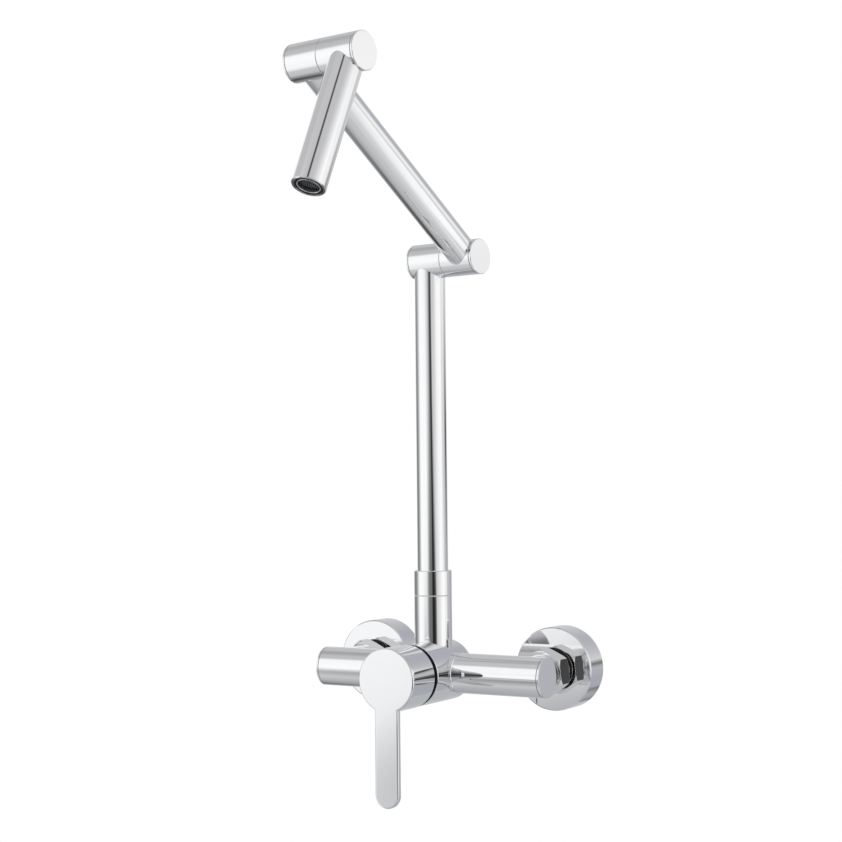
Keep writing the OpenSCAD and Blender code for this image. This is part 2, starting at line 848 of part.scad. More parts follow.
module upper_spring_washer() {
    color("silver") at_upper_elbow() spring_washer(upper_seam);
}

module upper_friction_washer() {
    color("whitesmoke") at_spout() friction_washer(upper_seam);
}

module upper_elbow_spout_half() {
    color("gainsboro") at_spout() far_half(upper_seam, upper_far, spout_x, -1);
}

module upper_cap_right() {
    color("gainsboro") at_spout() right_cap(upper_far);
}

module arm() {
    color("gainsboro") at_arm() translate([arm_x, 0, 0])
        elbow_tube(arm_r, 0, arm_l, true, true);
}

// Spout and aerator

module spout() {
    color("gainsboro") at_spout() translate([spout_x, 0, 0]) difference() {
        elbow_tube(spout_r, -spout_l, 0, false, true);
        translate([0, 0, -spout_l - cut]) difference() {
            cylinder(r = spout_r + cut, h = cut + spout_edge);
            translate([0, 0, cut])
                cylinder(r1 = spout_r - spout_edge, r2 = spout_r, h = spout_edge);
            translate([0, 0, -cut]) cylinder(r = spout_r - spout_edge, h = 2 * cut + spout_edge);
        }
    }
}

// The frame of the spout's open end, with the water leaving along -Z
module at_outlet() {
    at_spout() translate([spout_x, 0, -spout_l]) children();
}

module aerator_housing() {
    color("dimgray") at_outlet() translate([0, 0, aerator_sink]) difference() {
        cylinder(r = spout_bore_r - fit, h = aerator_l);
        translate([0, 0, -cut]) cylinder(r = spout_bore_r - aerator_wall, h = aerator_l);
        cylinder(r = spout_bore_r - 2 * aerator_wall, h = aerator_l + cut);
    }
}

// A grid of rings and spokes, which breaks the stream up
module aerator_insert() {
    grid_r = spout_bore_r - aerator_wall - fit;
    pitch = (grid_r - grid_rim_w) / grid_rings;
    color("silver") at_outlet() translate([0, 0, grid_sink]) {
        pipe(grid_r, grid_r - grid_rim_w, grid_t);
        for (i = [1 : grid_rings - 1])
            pipe(i * pitch + grid_rib / 2, i * pitch - grid_rib / 2, grid_t);
        cylinder(r = grid_hub_r, h = grid_t);
        for (turn = [0 : 60 : 300]) rotate([0, 0, turn])
            translate([grid_hub_r / 2, -grid_rib / 2, grid_rib])
                cube([grid_r - (grid_rim_w + grid_hub_r) / 2, grid_rib, grid_t - 2 * grid_rib]);
    }
}

module aerator_washer() {
    color("black") at_outlet() translate([0, 0, aerator_sink + aerator_l])
        pipe(spout_bore_r - fit, spout_bore_r - 2 * aerator_wall, aerator_seal_t);
}

rosette(-1);  // rosette_left
rosette(1);  // rosette_right
union_fitting(-1);  // union_left
union_fitting(1);  // union_right
union_nut(-1);  // union_nut_left
union_nut(1);  // union_nut_right
inlet_washers();
rosette_seals();
body();
bar_tube(-1);  // bar_tube_left
bar_tube(1);  // bar_tube_right
bar_cap(-1);  // bar_cap_left
bar_cap(1);  // bar_cap_right
cartridge_housing();
cartridge_base();
base_seals();
fixed_disc();
ring_nut();
swivel_screw();
slip_washer();
rotor();
lift_pin();
disc_carrier();
moving_disc();
handle();
handle_insert();
handle_screw();
stem();
riser();
swivel_collar();
spigot();
spigot_seals();
lower_elbow_riser_half();
lower_cap_left();
lower_spindle();
lower_spindle_nut();
lower_seals();
lower_spring_washer();
lower_friction_washer();
lower_elbow_arm_half();
lower_cap_right();
arm();
upper_elbow_arm_half();
upper_cap_left();
upper_spindle();
upper_spindle_nut();
upper_seals();
upper_spring_washer();
upper_friction_washer();
upper_elbow_spout_half();
upper_cap_right();
spout();
aerator_housing();
aerator_insert();
aerator_washer();
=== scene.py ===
"""Finishes, fine detail, studio and camera for a wall-mounted mixer tap with a folding arm."""
import json
import math

import bmesh
import bpy
from mathutils import Matrix, Vector


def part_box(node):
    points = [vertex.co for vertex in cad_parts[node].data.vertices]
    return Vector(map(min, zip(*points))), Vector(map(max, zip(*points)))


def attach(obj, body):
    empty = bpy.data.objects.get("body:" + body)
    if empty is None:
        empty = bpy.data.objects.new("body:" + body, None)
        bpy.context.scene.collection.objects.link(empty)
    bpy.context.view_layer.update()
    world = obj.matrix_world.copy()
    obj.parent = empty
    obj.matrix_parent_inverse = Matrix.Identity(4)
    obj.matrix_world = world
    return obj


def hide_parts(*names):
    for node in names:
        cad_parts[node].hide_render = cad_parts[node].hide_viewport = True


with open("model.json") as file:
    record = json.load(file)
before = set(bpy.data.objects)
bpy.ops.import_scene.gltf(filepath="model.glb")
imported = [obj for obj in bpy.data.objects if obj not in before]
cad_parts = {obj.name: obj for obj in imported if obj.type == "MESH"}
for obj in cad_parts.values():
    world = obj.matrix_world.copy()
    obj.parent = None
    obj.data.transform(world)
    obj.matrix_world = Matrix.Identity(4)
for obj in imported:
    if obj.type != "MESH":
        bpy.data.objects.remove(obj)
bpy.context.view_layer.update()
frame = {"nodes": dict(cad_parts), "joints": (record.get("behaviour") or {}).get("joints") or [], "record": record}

MM = 0.001

# Camera of the photograph, in the frame of the part
CAMERA_AT = (0.61984, -1.11613, 0.13617)
CAMERA_AZIMUTH = 30.754
CAMERA_PITCH = 1.93
CAMERA_ROLL = -0.564
LENS_MM = 73.11
SENSOR_MM = 36


def mm(length):
    """A length of the frame in millimetres, without its rounding error."""
    return round(length / MM, 4)


# Places and sizes worked out from the frame, in millimetres and degrees
cap_low, cap_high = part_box("bar_cap_right")
BAR_Y = mm((cap_low.y + cap_high.y) / 2)
BAR_Z = mm((cap_low.z + cap_high.z) / 2)
BAR_R = mm((cap_high.z - cap_low.z) / 2)
BAR_SEAM_X = mm(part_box("bar_tube_right")[0].x)
BODY_FRONT = mm(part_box("body")[0].y)

mounts = {mount["name"]: mount for mount in frame["record"]["mounts"]}
union_low, union_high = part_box("union_right")
INLET_X = mm(mounts["inlet_right"]["pos_m"][0])
TAIL_FROM = mm(union_low.y)
THREAD_R = mounts["inlet_right"]["dims"]["r_mm"]
THREAD_L = mm(union_high.y)

handle_low, handle_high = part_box("handle")
screw_low, screw_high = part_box("handle_screw")
HUB_FRONT = mm(handle_low.y)
HUB_BACK = mm(handle_high.y)
GRUB_Y = mm((screw_low.y + screw_high.y) / 2)

joints = {joint["name"]: joint for joint in frame["joints"]}
elbow_axis = joints["upper_elbow"]["axis"]
OUTLET = Vector([mm(value) for value in mounts["outlet"]["pos_m"]])
SPOUT_TILT = round(math.degrees(math.acos(-mounts["outlet"]["axis"][2])), 2)
ARM_HEADING = round(math.degrees(math.atan2(elbow_axis[1], elbow_axis[0])), 2)

# Sizes repeated from the part, as the frame's boxes and mounts don't give them exactly
UNION_BORE_R = 6.5
TAIL_R = 9.5
TAIL_OVERLAP = 1            # how far the union's tail runs into its body
FLANGE_R = 13.02
FLANGE_L = 3.3
UNION_BODY_R = 13
UNION_FRONT = -19.7
THREAD_BEVEL = 1

HUB_R = 22
HUB_WALL = 2.2
HUB_BEVEL = 1.5
PLATE_T = 4
PLATE_BACK = HUB_FRONT + PLATE_T
BOSS_R = 9
BOSS_BACK = -103.5
INSERT_R = 6.5
GRUB_R = 2.55
LEVER_W = 18.6
LEVER_L = 86.7

# Fine detail that only the scene has, in millimetres
THREAD_PITCH = 1.814
THREAD_DEPTH = 1.162
THREAD_ROOT = 1.15          # how deep the two flanks of a groove would meet, in depths
THREAD_STEEPNESS = 2.6      # how fast a flank rises from there, in depths per pitch
UNION_SOFT = 0.4            # bevel on the union's edges

SEAM_BEAD = ((-0.5, -0.2), (-0.5, 0.25), (-0.1, 0.35), (0.08, 0.35), (0.3, -0.05),
             (0.3, -0.2))   # outline: outwards from the seam, and out from the bar's surface
# A dark ring on the body's front rim, painted shade for the gap behind the hub
GAP_SHADE_RING_R = 21.45
GAP_SHADE_RING_INNER_R = 20
GAP_SHADE_RING_PROUD = 0.05
GAP_SHADE_RING_DEPTH = 0.5

LEVER_FRONT_ROUND = 1.1
LEVER_BACK_ROUND = 0.9
LEVER_RIM = 0.05            # a narrow flat ring that keeps the flat faces flat
LEVER_LIFT = 0.02           # keeps the lever's tip inside the solid's box
BOSS_SOFT = 0.3
DRILL_SPARE = 1             # how far the drill passes the skirt's wall

SCREEN_R = 8.05
SCREEN_DEPTH = 3.2
WIRE_PITCH = 0.85
WIRE_R = 0.13
WIRE_LIFT = 1.1             # how far a wire rises and falls, in wire radii
WIRE_SIDES = 5
STEPS_PER_WIRE = 4
LIP_R = 7.6
LIP_INNER_R = 7.1
LIP_LOW = 0.25
LIP_TOP = 1.4
COLLAR = ((7.5, 0.7), (8.19, 0.7), (8.19, 1.3), (7.5, 1.3))     # outline: radius and depth
INNER_WALL = ((6.9, 0.6), (7.15, 0.55), (7.15, 2.4), (6.9, 2.4))

# Floor and overhead lamp, in metres and degrees
FLOOR_Z = -0.30
FLOOR_HALF = 8.0
FLOOR_COLOR = (0.6, 0.6, 0.6, 1)
FLOOR_GLOW = 0.488          # with the light on the floor this makes plain white
LAMP_AT = (0.3, -0.7, 2.4)
LAMP_TILT = 15
LAMP_WIDTH = 50             # the angle that the lamp fills in the sky
LAMP_STRENGTH = 0.95


def rotation_about(axis, degrees):
    """A turn about one axis, as a 4 by 4 matrix."""
    return Matrix.Rotation(math.radians(degrees), 4, axis)


def make_camera():
    """The camera, turned by azimuth, pitch and roll from a view along +Y."""
    data = bpy.data.cameras.new("camera")
    data.lens = LENS_MM
    data.sensor_width = SENSOR_MM
    data.clip_start = 0.01
    camera = bpy.data.objects.new("camera", data)
    turn = (rotation_about("Z", CAMERA_AZIMUTH) @ rotation_about("X", 90 + CAMERA_PITCH)
            @ rotation_about("Z", CAMERA_ROLL))
    camera.matrix_world = Matrix.Translation(CAMERA_AT) @ turn
    bpy.context.scene.collection.objects.link(camera)
    bpy.context.scene.camera = camera


# Node helpers

class Nodes:
    """A small wrapper that adds and links shader nodes."""

    def __init__(self, tree):
        self.tree = tree
        tree.nodes.clear()

    def add(self, kind, **settings):
        node = self.tree.nodes.new(kind)
        for name, value in settings.items():
            setattr(node, name, value)
        return node

    def link(self, source, target):
        self.tree.links.new(source, target)

    def feed(self, sockets, values):
        """Sets each socket to a number, or links it to another node's output."""
        for socket, value in zip(sockets, values):
            if isinstance(value, (int, float)):
                socket.default_value = value
            else:
                self.link(value, socket)

    def math(self, operation, *values):
        node = self.add("ShaderNodeMath", operation=operation)
        self.feed(node.inputs, values)
        return node.outputs[0]

    def ramp(self, fac, low, high, to_low, to_high, smooth=False):
        node = self.add("ShaderNodeMapRange")
        node.interpolation_type = "SMOOTHSTEP" if smooth else "LINEAR"
        self.feed(node.inputs, (fac, low, high, to_low, to_high))
        return node.outputs[0]

    def noise(self, scale, detail=2.0, roughness=0.5, stretch=(1, 1, 1)):
        where = self.add("ShaderNodeTexCoord").outputs["Object"]
        mapping = self.add("ShaderNodeMapping")
        mapping.inputs["Scale"].default_value = stretch
        self.link(where, mapping.inputs["Vector"])
        node = self.add("ShaderNodeTexNoise")
        node.inputs["Scale"].default_value = scale
        node.inputs["Detail"].default_value = detail
        node.inputs["Roughness"].default_value = roughness
        self.link(mapping.outputs[0], node.inputs["Vector"])
        return node.outputs["Fac"]


def new_material(name, color, metallic, roughness, bump_mm, scale, stretch=(1, 1, 1), tint=0.0,
                 edge_mm=0.0):
    """A principled material whose roughness, tint and relief come from noise.

    roughness is a low and a high value, scale counts noise cells in a metre, bump_mm is the
    height of the relief, and edge_mm softens the edges by that radius."""
    material = bpy.data.materials.new(name)
    material.use_nodes = True
    material.diffuse_color = (*color, 1)
    n = Nodes(material.node_tree)
    shader = n.add("ShaderNodeBsdfPrincipled")
    shader.inputs["Metallic"].default_value = metallic
    broad = n.noise(scale / 8, detail=3.0, stretch=stretch)
    fine = n.noise(scale, detail=4.0, roughness=0.6, stretch=stretch)
    n.link(n.ramp(broad, 0.3, 0.7, roughness[0], roughness[1]), shader.inputs["Roughness"])
    mix = n.add("ShaderNodeMix", data_type="RGBA")
    mix.inputs["A"].default_value = (*(c * (1 - tint) for c in color), 1)
    mix.inputs["B"].default_value = (*color, 1)
    n.link(n.ramp(fine, 0.3, 0.7, 0.0, 1.0), mix.inputs["Factor"])
    n.link(mix.outputs["Result"], shader.inputs["Base Color"])
    bump = n.add("ShaderNodeBump")
    bump.inputs["Distance"].default_value = bump_mm * MM
    n.link(fine, bump.inputs["Height"])
    if edge_mm:
        edge = n.add("ShaderNodeBevel", samples=6)
        edge.inputs["Radius"].default_value = edge_mm * MM
        n.link(edge.outputs[0], bump.inputs["Normal"])
    n.link(bump.outputs[0], shader.inputs["Normal"])
    out = n.add("ShaderNodeOutputMaterial")
    n.link(shader.outputs[0], out.inputs["Surface"])
    return material


TURNED = (1, 6, 1)
CHROME = ((0.914, 0.916, 0.918), 1.0, (0.02, 0.045), 0.00006, 90)
MATERIALS = {
    "chrome": new_material("polished chrome", *CHROME, tint=0.01),
    "edged_chrome": new_material("polished chrome, softened edges", *CHROME, tint=0.01,
                                 edge_mm=0.35),
    "brass": new_material("machined brass", (0.80, 0.62, 0.30), 1.0, (0.22, 0.36), 0.004, 1600,
                          stretch=TURNED, tint=0.12),
    "steel": new_material("machined steel", (0.56, 0.56, 0.57), 1.0, (0.25, 0.4), 0.003, 1800,
                          stretch=TURNED, tint=0.1),
    # A darker steel for the screen and insert deep in the outlet: painted shade
    "wire": new_material("steel wire darkened as painted shade", (0.32, 0.32, 0.33), 1.0, (0.3, 0.45), 0.004, 2500,
                         tint=0.3),
    "pale_plastic": new_material("moulded pale plastic", (0.84, 0.84, 0.81), 0.0, (0.35, 0.5),
                                 0.01, 1500, tint=0.05),
    "dark_plastic": new_material("moulded dark plastic", (0.012, 0.012, 0.013), 0.0,
                                 (0.35, 0.55), 0.01, 1500, tint=0.2),
    "ceramic": new_material("lapped ceramic", (0.88, 0.86, 0.80), 0.0, (0.08, 0.16), 0.002, 1200,
                            tint=0.04),
    "seal_rubber": new_material("seal rubber", (0.02, 0.02, 0.02), 0.0, (0.45, 0.65), 0.01, 1400,
                                tint=0.3),
}


def dress(obj, finish):
    """Gives an object one finish and no other."""
    obj.data.materials.clear()
    obj.data.materials.append(MATERIALS[finish])


def dress_frame():
    """Every carried-over node gets its slot's finish, and the aerator's insert dark steel: painted shade."""
    for part in frame["record"]["subparts"]:
        slot = part["material_slot"]
        dress(frame["nodes"][part["node"]], "edged_chrome" if slot == "chrome" else slot)
    dress(frame["nodes"]["aerator_insert"], "wire")


# Mesh building, with lengths in millimetres

class Shape:
    """Collects closed shells and turns them into one object."""

    def __init__(self):
        self.points = []
        self.faces = []

    def loops(self, loops, closed=False, cap=False):
        """Joins equal loops of points, each to the next, and the last to the first if closed.

        With cap the first and last loops are filled."""
        base = len(self.points)
        count = len(loops[0])
        for loop in loops:
            self.points.extend(loop)
        rows = len(loops)
        for i in range(rows if closed else rows - 1):
            a, b = base + i * count, base + (i + 1) % rows * count
            for j in range(count):
                k = (j + 1) % count
                self.faces.append((a + j, b + j, b + k, a + k))
        if cap:
            self.faces.append(tuple(base + j for j in range(count)))
            self.faces.append(tuple(base + (rows - 1) * count + count - 1 - j
                                    for j in range(count)))

    def lathe(self, profile, x=0.0, z=0.0, turns=96):
        """Turns a closed profile of (radius, y) pairs about a line along Y through x and z."""
        rows = []
        for radius, y in profile:
            rows.append([(x + radius * math.sin(2 * math.pi * t / turns), y,
                          z + radius * math.cos(2 * math.pi * t / turns)) for t in range(turns)])
        self.loops(rows, closed=True)

    def build(self, name, body, slot, *replaced, place=None, sharp=30, finish=None):
        mesh = bpy.data.meshes.new(name)
        mesh.from_pydata([Vector(p) * MM for p in self.points], [], self.faces)
        mesh.validate()
        finish_piece(mesh, name, body, slot, replaced, place, sharp, finish)


def finish_piece(mesh, name, body, slot, replaced=(), place=None, sharp=30, finish=None):
    """Shades a mesh, sets its outside, and puts it on its body."""
    bm = bmesh.new()
    bm.from_mesh(mesh)
    bmesh.ops.remove_doubles(bm, verts=bm.verts, dist=1e-6)
    bmesh.ops.recalc_face_normals(bm, faces=bm.faces)
    bm.to_mesh(mesh)
    bm.free()
    mesh.shade_smooth()
    mesh.set_sharp_from_angle(angle=math.radians(sharp))
    piece = bpy.data.objects.new(name, mesh)
    if place is not None:
        piece.matrix_world = place
    bpy.context.scene.collection.objects.link(piece)
    dress(piece, finish or slot)
    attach(piece, body)
    if replaced:
        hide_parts(*replaced)


# Unions with a cut G 1/2 thread

def thread_rows(x, turns=72, steps=14):
    """Rows of points along the helical thread, from the wall's face into the wall, and back
    along the bore."""
    rows = []
    count = int(THREAD_L / THREAD_PITCH * steps)
    for i in range(count + 1):
        y = THREAD_L * i / count
        row = []
        for t in range(turns):
            turn = t / turns
            phase = (y / THREAD_PITCH - turn) % 1
            flank = THREAD_ROOT - THREAD_STEEPNESS * abs(phase - 0.5)
            depth = THREAD_DEPTH * min(1, max(0, flank))
            start = min(1, y / THREAD_PITCH)
            limit = THREAD_R - max(0, y - THREAD_L + THREAD_BEVEL)
            radius = min(THREAD_R - depth * start, limit)
            angle = 2 * math.pi * turn
            row.append((x + radius * math.sin(angle), y, radius * math.cos(angle)))
        rows.append(row)
    bore = [[(x + UNION_BORE_R * math.sin(2 * math.pi * t / turns), y,
              UNION_BORE_R * math.cos(2 * math.pi * t / turns)) for t in range(turns)]
            for y in (THREAD_L, 0)]
    return rows + bore


def make_unions():
    """Both unions: a flanged tail, a body set higher, and the wall thread."""
    soft = UNION_SOFT
    flange_end = TAIL_FROM + FLANGE_L
    tail_end = UNION_FRONT + TAIL_OVERLAP
    tail = [(UNION_BORE_R, TAIL_FROM), (FLANGE_R - soft, TAIL_FROM), (FLANGE_R, TAIL_FROM + soft),
            (FLANGE_R, flange_end - soft), (FLANGE_R - soft, flange_end), (TAIL_R, flange_end),
            (TAIL_R, tail_end), (UNION_BORE_R, tail_end)]
    middle = [(UNION_BORE_R, UNION_FRONT), (UNION_BODY_R - soft, UNION_FRONT),
              (UNION_BODY_R, UNION_FRONT + soft), (UNION_BODY_R, -soft),
              (UNION_BODY_R - soft, 0), (UNION_BORE_R, 0)]
    for word, x in (("left", -INLET_X), ("right", INLET_X)):
        shape = Shape()
        shape.lathe(tail, x, BAR_Z)
        shape.lathe(middle, x, 0)
        shape.loops(thread_rows(x), closed=True)
        shape.build(f"threaded_union_{word}", "mixer", "chrome", f"union_{word}")


# Trim on the body, and a dark ring that paints the shade in the gap behind the hub

def ring_along_x(x, radius, turns=96):
    """A ring of points about the crossbar's axis."""
    return [(x, BAR_Y + radius * math.sin(2 * math.pi * t / turns),
             BAR_Z + radius * math.cos(2 * math.pi * t / turns)) for t in range(turns)]


def make_seam_beads():
    """The bright bevelled edge where each half of the crossbar meets the body."""
    for word, side in (("left", -1), ("right", 1)):
        shape = Shape()
        shape.loops([ring_along_x(side * (BAR_SEAM_X + out), BAR_R + proud)
                     for out, proud in SEAM_BEAD], closed=True)
        shape.build(f"seam_bead_{word}", "mixer", "chrome", sharp=20)


def make_gap_shade_ring():
    """A thin dark ring on the body's front rim: painted shade that fills the gap behind the hub."""
    front = BODY_FRONT - GAP_SHADE_RING_PROUD
    back = BODY_FRONT + GAP_SHADE_RING_DEPTH
    shape = Shape()
    shape.lathe([(GAP_SHADE_RING_INNER_R, front), (GAP_SHADE_RING_R - GAP_SHADE_RING_PROUD, front),
                 (GAP_SHADE_RING_R, BODY_FRONT), (GAP_SHADE_RING_R, back), (GAP_SHADE_RING_INNER_R, back)],
                0, BAR_Z, turns=160)
    # Painted shade: the ring takes the seal rubber's black
    shape.build("painted_gap_shade_ring", "mixer", "seal_rubber", sharp=40)


# Handle with rounded edges

def lever_outline(inset, arc_inset, y, arc_steps=96, line_steps=4, end_steps=32):
    """The outline of disc and lever at depth y, pulled in by inset, or arc_inset on the disc."""
    half = LEVER_W / 2 - inset
    radius = HUB_R - arc_inset
    reach = math.asin(half / radius)
    loop = []
    for i in range(arc_steps + 1):
        a = math.pi + reach + (2 * math.pi - 2 * reach) * i / arc_steps
        loop.append((radius * math.sin(a), y, BAR_Z + radius * math.cos(a)))
    top = -math.sqrt(radius ** 2 - half ** 2)
    low = -LEVER_L + LEVER_W / 2 + LEVER_LIFT
    for i in range(1, line_steps + 1):
        loop.append((half, y, BAR_Z + top + (low - top) * i / line_steps))
    for i in range(1, end_steps):
        a = math.pi * i / end_steps
        loop.append((half * math.cos(a), y, BAR_Z + low - half * math.sin(a)))
    for i in range(line_steps):
        loop.append((-half, y, BAR_Z + low + (top - low) * i / line_steps))
    return loop


def make_handle(steps=10):
    """The disc and lever with rounded edges, and the boss that holds the insert."""
    loops = [lever_outline(LEVER_FRONT_ROUND + LEVER_RIM, LEVER_FRONT_ROUND + LEVER_RIM,
                           HUB_FRONT)]
    for i in range(steps + 1):
        a = math.radians(90 * i / steps)
        inset = LEVER_FRONT_ROUND * (1 - math.sin(a))
        y = HUB_FRONT + LEVER_FRONT_ROUND * (1 - math.cos(a))
        loops.append(lever_outline(inset, inset, y))
    for i in range(steps + 1):
        a = math.radians(90 * i / steps)
        inset = LEVER_BACK_ROUND * (1 - math.cos(a))
        y = PLATE_BACK - LEVER_BACK_ROUND * (1 - math.sin(a))
        loops.append(lever_outline(inset, 0, y))
    loops.append(lever_outline(LEVER_BACK_ROUND + LEVER_RIM, LEVER_RIM, PLATE_BACK))
    shape = Shape()
    shape.loops(loops, cap=True)
    shape.lathe([(BOSS_R, PLATE_BACK), (INSERT_R, PLATE_BACK), (INSERT_R, BOSS_BACK + BOSS_SOFT),
                 (INSERT_R + BOSS_SOFT, BOSS_BACK), (BOSS_R - BOSS_SOFT, BOSS_BACK),
                 (BOSS_R, BOSS_BACK - BOSS_SOFT)], 0, BAR_Z)
    shape.build("rounded_handle", "lever_handle", "chrome", "handle", sharp=40)


def blank_object(name, shape):
    """A plain object to cut with or from, removed after the cut."""
    mesh = bpy.data.meshes.new(name)
    mesh.from_pydata([Vector(p) * MM for p in shape.points], [], shape.faces)
    bm = bmesh.new()
    bm.from_mesh(mesh)
    bmesh.ops.recalc_face_normals(bm, faces=bm.faces)
    bm.to_mesh(mesh)
    bm.free()
    blank = bpy.data.objects.new(name, mesh)
    bpy.context.scene.collection.objects.link(blank)
    return blank


def make_hub(turns=32):
    """The hub's skirt, with the hole for the grub screw cut through it."""
    skirt = Shape()
    inner = HUB_R - HUB_WALL
    skirt.lathe([(HUB_R, PLATE_BACK), (HUB_R, HUB_BACK - HUB_BEVEL),
                 (HUB_R - HUB_BEVEL, HUB_BACK), (inner, HUB_BACK), (inner, PLATE_BACK)],
                0, BAR_Z, turns=160)
    drill = Shape()
    drill.loops([[(GRUB_R * math.sin(2 * math.pi * t / turns),
                   GRUB_Y + GRUB_R * math.cos(2 * math.pi * t / turns), BAR_Z + z)
                  for t in range(turns)]
                 for z in (-HUB_R - DRILL_SPARE, -inner + DRILL_SPARE)], cap=True)
    blanks = [blank_object("skirt_blank", skirt), blank_object("drill_blank", drill)]
    cut = blanks[0].modifiers.new("hole", "BOOLEAN")
    cut.object = blanks[1]
    cut.solver = "EXACT"
    graph = bpy.context.evaluated_depsgraph_get()
    mesh = bpy.data.meshes.new_from_object(blanks[0].evaluated_get(graph))
    for blank in blanks:
        bpy.data.objects.remove(blank)
    mesh.name = "handle_skirt"
    finish_piece(mesh, "handle_skirt", "lever_handle", "chrome", sharp=25)


# The inside of the outlet, built about +Z with the water leaving along -Z

def outlet_place():
    """The outlet's place: +Z runs up the spout from its open end."""
    return (Matrix.Translation(OUTLET * MM) @ rotation_about("Z", ARM_HEADING)
            @ rotation_about("X", -SPOUT_TILT))


def wire_rows(i, across):
    """The rings of points along one wire of the screen, or nothing where it is too short."""
    offset = i * WIRE_PITCH
    half = math.sqrt(max(0.0, SCREEN_R ** 2 - offset ** 2))
    if half < WIRE_PITCH:
        return []
    steps = int(2 * half / WIRE_PITCH * STEPS_PER_WIRE)
    rows = []
    for s in range(steps + 1):
        along = -half + 2 * half * s / steps
        lift = WIRE_R * WIRE_LIFT * math.cos(math.pi * (along / WIRE_PITCH + i + across))
        rows.append([])
        for k in range(WIRE_SIDES):
            a = 2 * math.pi * k / WIRE_SIDES
            side = offset + WIRE_R * math.cos(a)
            z = SCREEN_DEPTH + lift + WIRE_R * math.sin(a)
            rows[-1].append((side, along, z) if across else (along, side, z))
    return rows


def make_screen():
    """A woven wire screen: each wire passes over and under the ones that it crosses."""
    shape = Shape()
    count = int(SCREEN_R / WIRE_PITCH)
    for across in (False, True):
        for i in range(-count, count + 1):
            rows = wire_rows(i, across)
            if rows:
                shape.loops(rows, cap=True)
    # The screen's darker steel is painted shade deep in the outlet
    shape.build("aerator_screen", "spout_tube", "steel", place=outlet_place(), sharp=80,
                finish="wire")


def outlet_ring(name, slot, profile, turns=72):
    """Turns a closed profile of (radius, depth) pairs about the outlet's axis."""
    shape = Shape()
    shape.loops([[(radius * math.cos(2 * math.pi * t / turns),
                   radius * math.sin(2 * math.pi * t / turns), z) for t in range(turns)]
                 for radius, z in profile], closed=True)
    shape.build(name, "spout_tube", slot, place=outlet_place(), sharp=40)


def make_lip():
    """The rolled lip inside the aerator, the dark collar that holds it and its inner wall."""
    roll = (LIP_R - LIP_INNER_R) / 2
    profile = [(LIP_R, LIP_TOP), (LIP_R, LIP_LOW + roll)]
    profile += [(LIP_R - roll + roll * math.cos(a), LIP_LOW + roll - roll * math.sin(a))
                for a in (math.pi * i / 8 for i in range(1, 8))]
    profile += [(LIP_INNER_R, LIP_LOW + roll), (LIP_INNER_R, LIP_TOP)]
    outlet_ring("aerator_lip", "chrome", profile)
    outlet_ring("aerator_collar", "dark_plastic", COLLAR)
    outlet_ring("aerator_wall", "steel", INNER_WALL)


# The studio: a grey tent with soft boxes and the gaps between them. Metal reflects it, and with
# the overhead lamp it lights everything else. TENT gives the tent's colour by elevation in degrees.
# Each patch has a name, its azimuth and half width, its elevation and half height and the width of
# its soft edge, in degrees, its lean, in degrees of azimuth for each of elevation, and its colour.
# Azimuth 0 is the wall, 90 the right.
# The patches were placed one by one. A program then set every number of STUDIO and every colour of
# TENT by least squares, from what the chrome shows in the photograph.

